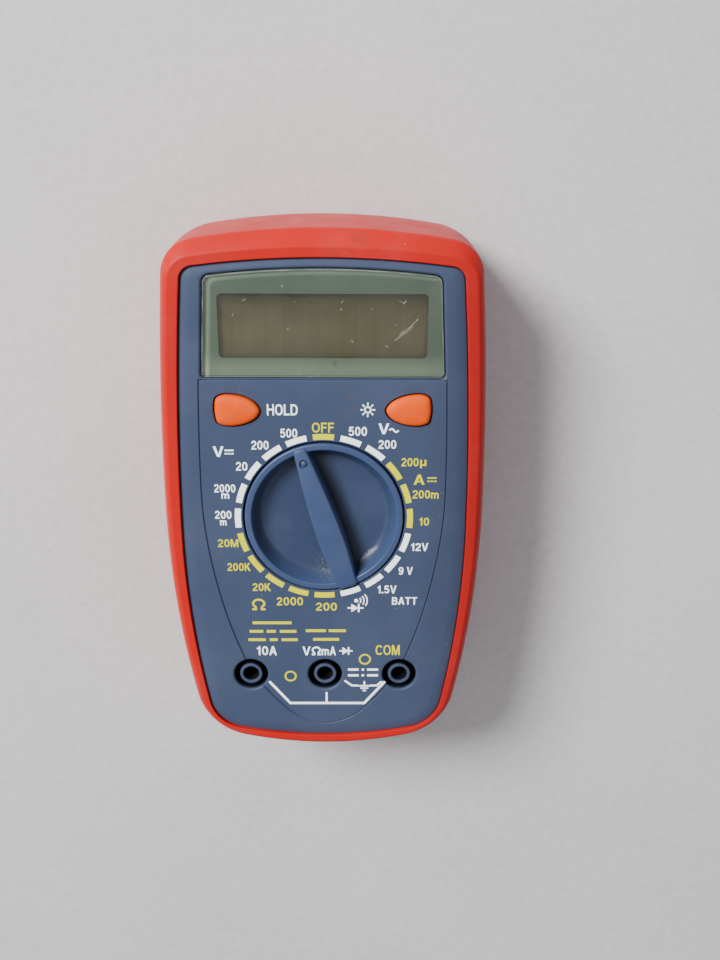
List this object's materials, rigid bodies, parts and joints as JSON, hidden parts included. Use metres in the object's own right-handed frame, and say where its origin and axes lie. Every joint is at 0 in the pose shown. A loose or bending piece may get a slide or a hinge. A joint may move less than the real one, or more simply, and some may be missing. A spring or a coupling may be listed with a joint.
{
  "type": "digital multimeter",
  "caption": "Pocket digital multimeter in a red soft boot, with a rotary range selector, orange push keys, an LCD window and a row of 4 mm input sockets.",
  "frame": {"origin": "centre of the bounding box at the flat back of the boot, which is what the meter lies on", "axes": "+Z out of the display face, +Y towards the display end, +X to the reader's right"},
  "size_m": [0.0784, 0.1364, 0.0341],
  "materials": {
    "boot": "soft moulded rubber, satin",
    "blue_case": "moulded, fine satin texture",
    "blue_dial": "moulded, satin",
    "orange_key": "soft moulded, satin",
    "lens": "clear moulded, polished",
    "lcd": "polarised glass, dull",
    "clear_plastic": "frosted light guide",
    "white_plastic": "moulded",
    "black_plastic": "moulded",
    "pad_rubber": "silicone",
    "foam": "open foam",
    "board": "glass epoxy laminate with solder mask",
    "gold_track": "gold plated",
    "spring_brass": "sprung strip",
    "socket_brass": "turned, nickel flashed",
    "screw_steel": "zinc plated",
    "bright_steel": "nickel plated",
    "battery_can": "printed metal jacket",
    "red_insulation": "wire insulation",
    "black_insulation": "wire insulation",
    "clear_glass": "drawn tube",
    "copper_wire": "bare wire",
    "capacitor_sleeve": "shrunk sleeve",
    "trimmer_blue": "moulded",
    "ceramic_disc": "dipped",
    "epoxy": "cast",
    "resistor_coat": "dipped"
  },
  "bodies": {
    "case": {"protective_boot": "boot", "front_shell": "blue_case", "rear_shell": "blue_case", "case_screws": "screw_steel", "board_screws": "screw_steel", "display_lens": "lens", "lens_tape": "black_plastic", "lcd_glass": "lcd", "lcd_frame": "black_plastic", "zebra_connector": "pad_rubber", "backlight_diffuser": "clear_plastic", "backlight_leds": "white_plastic", "circuit_board": "board", "selector_tracks": "gold_track", "hold_switch_body": "black_plastic", "backlight_switch_body": "black_plastic", "ten_amp_socket": "socket_brass", "volt_ohm_socket": "socket_brass", "common_socket": "socket_brass", "battery": "battery_can", "battery_terminals": "bright_steel", "battery_snap": "black_plastic", "snap_contacts": "bright_steel", "battery_lead_red": "red_insulation", "battery_lead_black": "black_insulation", "fuse_tube": "clear_glass", "fuse_caps": "bright_steel", "fuse_element": "bright_steel", "fuse_clips": "bright_steel", "current_shunt": "copper_wire", "buzzer_housing": "black_plastic", "buzzer_disc": "spring_brass", "capacitors": "capacitor_sleeve", "calibration_trimmer": "trimmer_blue", "overload_thermistor": "ceramic_disc", "converter_chip": "epoxy", "resistors": "resistor_coat", "transistors": "epoxy"},
    "dial": {"selector_dial": "blue_dial", "detent_balls": "bright_steel", "detent_springs": "bright_steel", "dial_contacts": "spring_brass"},
    "hold_button": {"hold_key": "orange_key", "hold_switch_plunger": "black_plastic"},
    "backlight_button": {"backlight_key": "orange_key", "backlight_switch_plunger": "black_plastic"},
    "battery_cover": {"battery_door": "blue_case", "battery_door_screw": "screw_steel", "battery_foam_pad": "foam"}
  },
  "joints": [
    {"name": "dial_turn", "type": "hinge", "parent": "case", "child": "dial", "pos_m": [0, -0.00165, 0.028], "axis": [0, 0, 1], "continuous": true},
    {"name": "hold_press", "type": "slide", "parent": "case", "child": "hold_button", "axis": [0, 0, -1], "range_m": [0, 0.0009], "stiffness_N_per_m": 1200, "springref_m": -0.0005},
    {"name": "backlight_press", "type": "slide", "parent": "case", "child": "backlight_button", "axis": [0, 0, -1], "range_m": [0, 0.0009], "stiffness_N_per_m": 1200, "springref_m": -0.0005},
    {"name": "cover_lift", "type": "slide", "parent": "case", "child": "battery_cover", "axis": [0, 0, -1], "range_m": [0, 0.014]}
  ]
}
